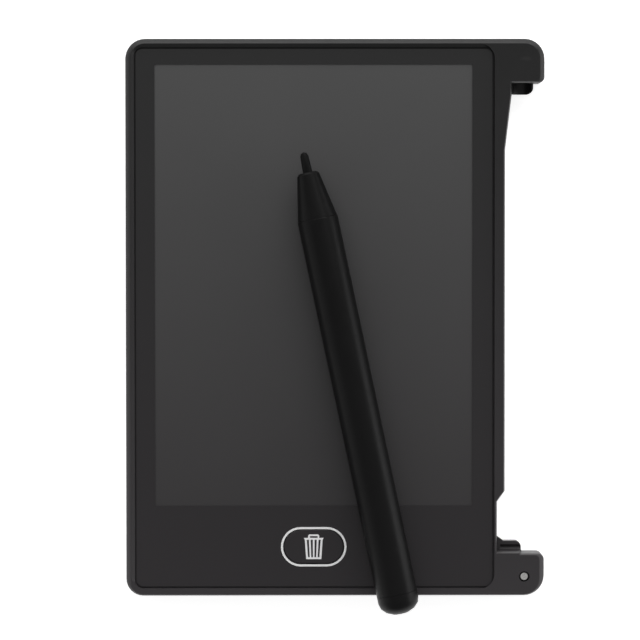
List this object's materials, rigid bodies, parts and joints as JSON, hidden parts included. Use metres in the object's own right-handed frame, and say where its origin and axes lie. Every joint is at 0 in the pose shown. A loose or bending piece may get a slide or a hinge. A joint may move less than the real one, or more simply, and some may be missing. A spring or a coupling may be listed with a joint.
{
  "type": "lcd writing tablet",
  "caption": "Flat black writing tablet with a raised rim, a grey film window, an oval erase key, side ears for its stylus, a coin cell drawer and a round stylus lying on the face.",
  "frame": {"origin": "centre of the flat rear face, under the middle of the housing's overall outline, ears included", "axes": "+X to the right of the face, the side with the stylus bay; +Y to its top edge; +Z out of the writing face"},
  "size_m": [0.0864, 0.1183, 0.0161],
  "materials": {
    "housing": "satin moulded ABS with a fine grain",
    "overlay": "black back-printed film, semi-gloss",
    "writing_film": "dark grey pressure-sensitive film, semi-gloss",
    "print_white": "white screen print",
    "key_cap": "semi-gloss black",
    "stylus": "glossy black ABS",
    "stylus_tip": "hard black plastic",
    "screw_steel": "nickel plated",
    "contact_metal": "nickel plated spring strip",
    "cell_steel": "bright steel can",
    "board": "solder mask on laminate",
    "component": "black epoxy and ferrite",
    "ceramic": "fired ceramic",
    "backing_foam": "thin foam sheet",
    "flex": "amber flexible circuit"
  },
  "bodies": {
    "tablet": {"rear_cover": "housing", "front_housing": "housing", "film_backing": "backing_foam", "lcd_film": "writing_film", "film_contact_tail": "flex", "overlay_frame": "overlay", "key_ring": "print_white", "circuit_board": "board", "tact_switch_body": "component", "controller_chip": "component", "boost_inductor": "component", "capacitor_1": "ceramic", "capacitor_2": "ceramic", "resistor_1": "ceramic", "battery_contact_positive": "contact_metal", "battery_contact_negative": "contact_metal", "drawer_screw": "screw_steel"},
    "key": {"erase_key": "key_cap", "switch_plunger": "component"},
    "drawer": {"battery_drawer": "housing", "coin_cell": "cell_steel"},
    "stylus": {"stylus_nib": "stylus_tip", "stylus_nose_cone": "stylus", "stylus_barrel": "stylus", "stylus_end_cap": "stylus"}
  },
  "joints": [
    {"name": "erase_key_press", "type": "slide", "parent": "tablet", "child": "key", "axis": [0, 0, -1], "range_m": [0, 0.0003], "stiffness_N_per_m": 2000, "springref_m": -0.0005},
    {"name": "battery_drawer_slide", "type": "slide", "parent": "tablet", "child": "drawer", "axis": [0, -1, 0], "range_m": [0, 0.022]},
    {"name": "stylus_lift", "type": "slide", "parent": "tablet", "child": "stylus", "axis": [0, 0, 1], "range_m": [0, 0.04]}
  ]
}
